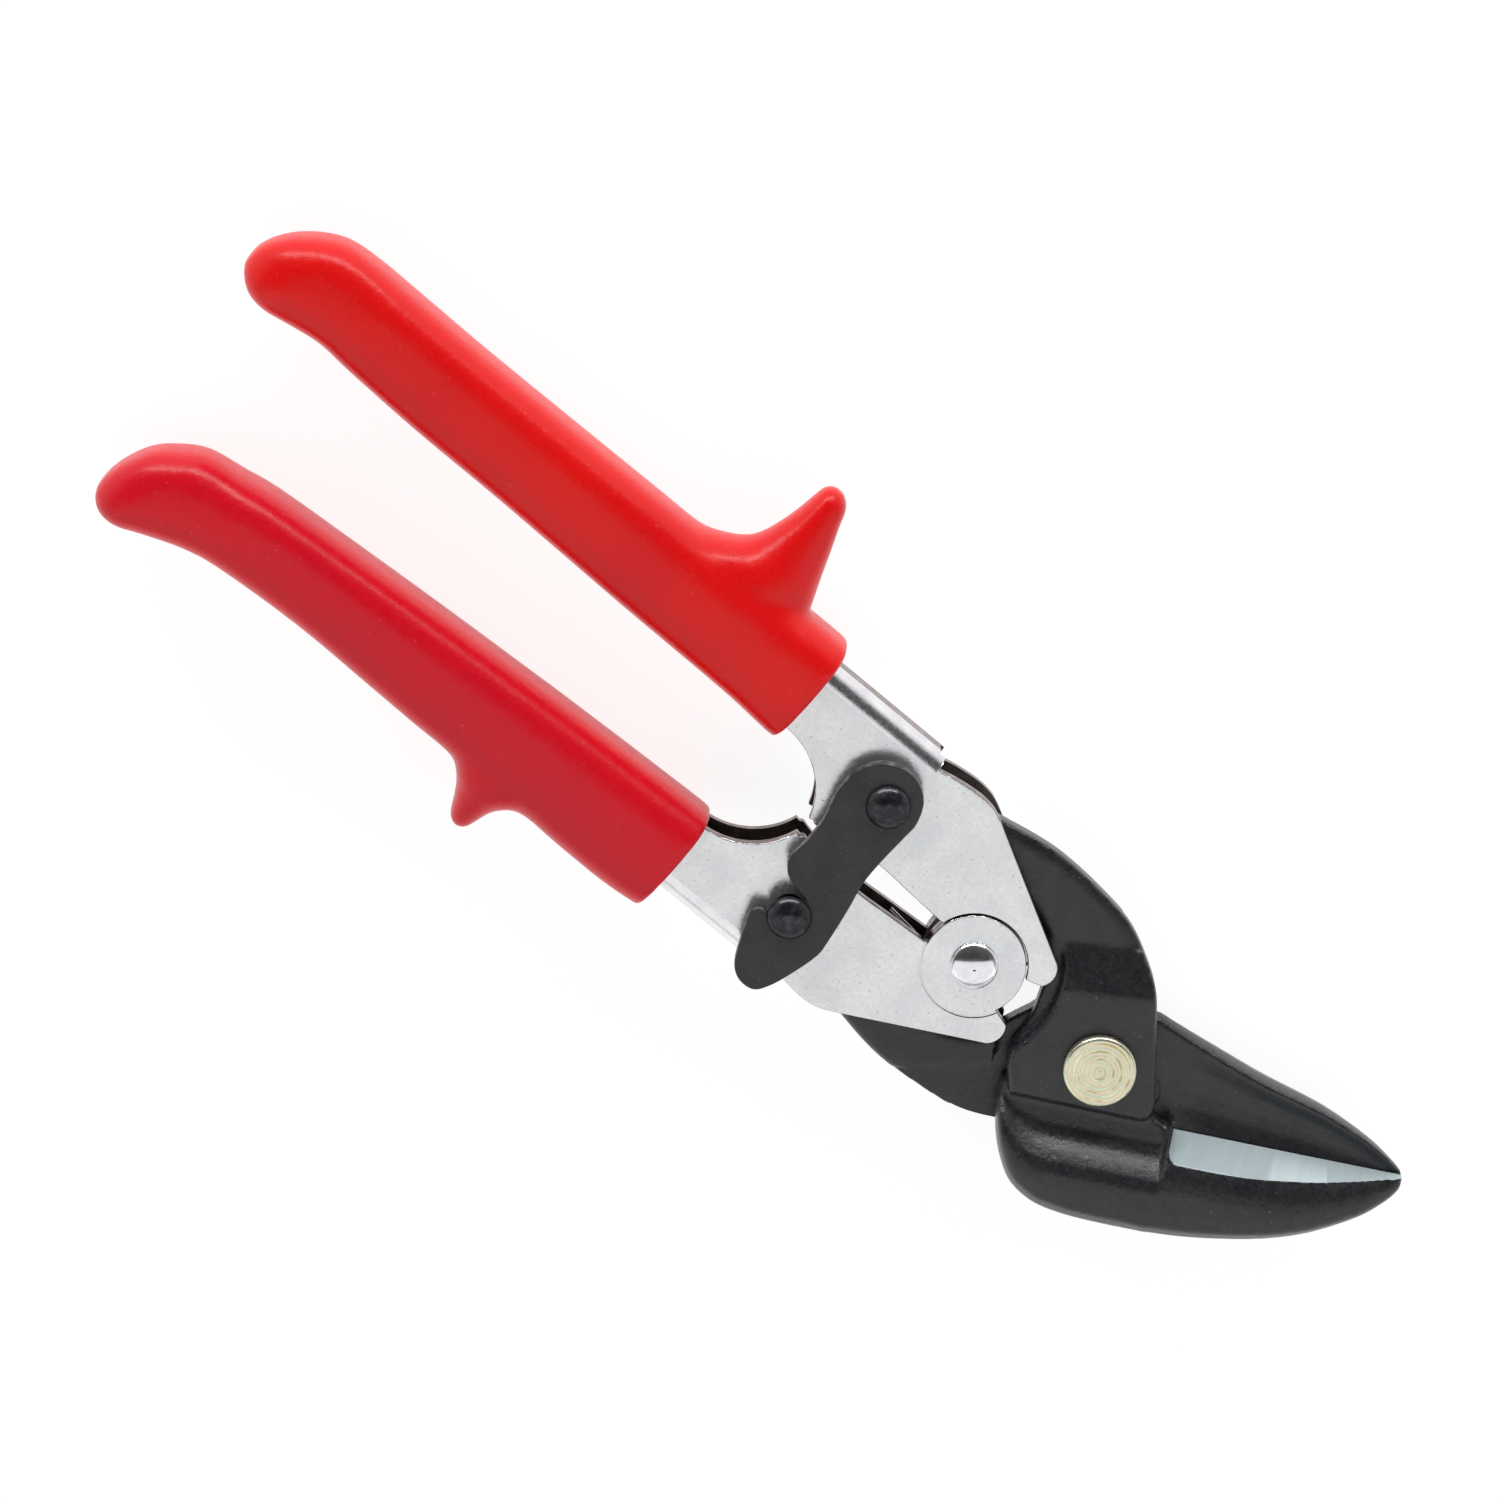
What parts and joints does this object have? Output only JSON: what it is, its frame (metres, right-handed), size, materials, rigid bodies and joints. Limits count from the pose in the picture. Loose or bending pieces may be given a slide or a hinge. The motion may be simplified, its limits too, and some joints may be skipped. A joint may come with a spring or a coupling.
{
  "type": "aviation snips",
  "caption": "Sheet-metal snips with a compound linkage: two sleeved channel handles drive an offset pair of forged blades, and a swinging hook latches them shut.",
  "frame": {"origin": "on the blade bolt's axis, in the plane of the bolt's end face, the lowest point of the snips lying on their back", "axes": "+X from the grips to the jaws, +Y to the upper handle's side, +Z along the bolt towards its head"},
  "size_m": [0.2626, 0.0881, 0.0246],
  "materials": {
    "grip": "moulded red plastic with a fine grain",
    "zinc": "pressed steel sheet, bright zinc plated",
    "forged": "forged steel, semi-gloss black, with a ground edge",
    "latch": "charcoal satin, worn at the edges",
    "oxide": "glossy black oxide",
    "bright": "bright plated steel",
    "yellow_zinc": "turned steel, yellow zinc plated"
  },
  "bodies": {
    "upper_handle": {"upper_handle": "zinc", "upper_grip": "grip", "handle_rivet": "bright", "handle_spacer": "zinc", "handle_rivet_washer": "zinc", "opening_spring": "bright", "upper_tang_rivet": "oxide", "latch_washer": "zinc", "upper_rivet_washer": "zinc"},
    "lower_handle": {"lower_handle": "zinc", "lower_grip": "grip", "lower_tang_rivet": "oxide", "lower_rivet_washer": "zinc"},
    "front_blade": {"front_blade": "forged", "pivot_bolt": "yellow_zinc", "pivot_washer": "zinc", "pivot_nut": "zinc"},
    "rear_blade": {"rear_blade": "forged"},
    "latch": {"latch": "latch"}
  },
  "joints": [
    {"name": "handle_pivot", "type": "hinge", "parent": "upper_handle", "child": "lower_handle", "pos_m": [-0.0293, 0, 0.0118], "axis": [0, 0, 1], "range_deg": [0, 30]},
    {"name": "tang_pivot", "type": "hinge", "parent": "upper_handle", "child": "front_blade", "pos_m": [-0.0608, 0.0132, 0.0118], "axis": [0, 0, 1], "range_deg": [0, 7.5]},
    {"name": "blade_pivot", "type": "hinge", "parent": "front_blade", "child": "rear_blade", "pos_m": [0, 0, 0.0118], "axis": [0, 0, 1], "range_deg": [0, 15]},
    {"name": "latch_pivot", "type": "hinge", "parent": "upper_handle", "child": "latch", "pos_m": [-0.0608, 0.0132, 0.0118], "axis": [0, 0, 1], "range_deg": [0, 90]}
  ],
  "couplings": [
    {"joint": "tang_pivot", "follows": "handle_pivot", "ratio": 0.25},
    {"joint": "blade_pivot", "follows": "handle_pivot", "ratio": 0.5},
    {"joint": "latch_pivot", "follows": "handle_pivot", "ratio": 3}
  ]
}
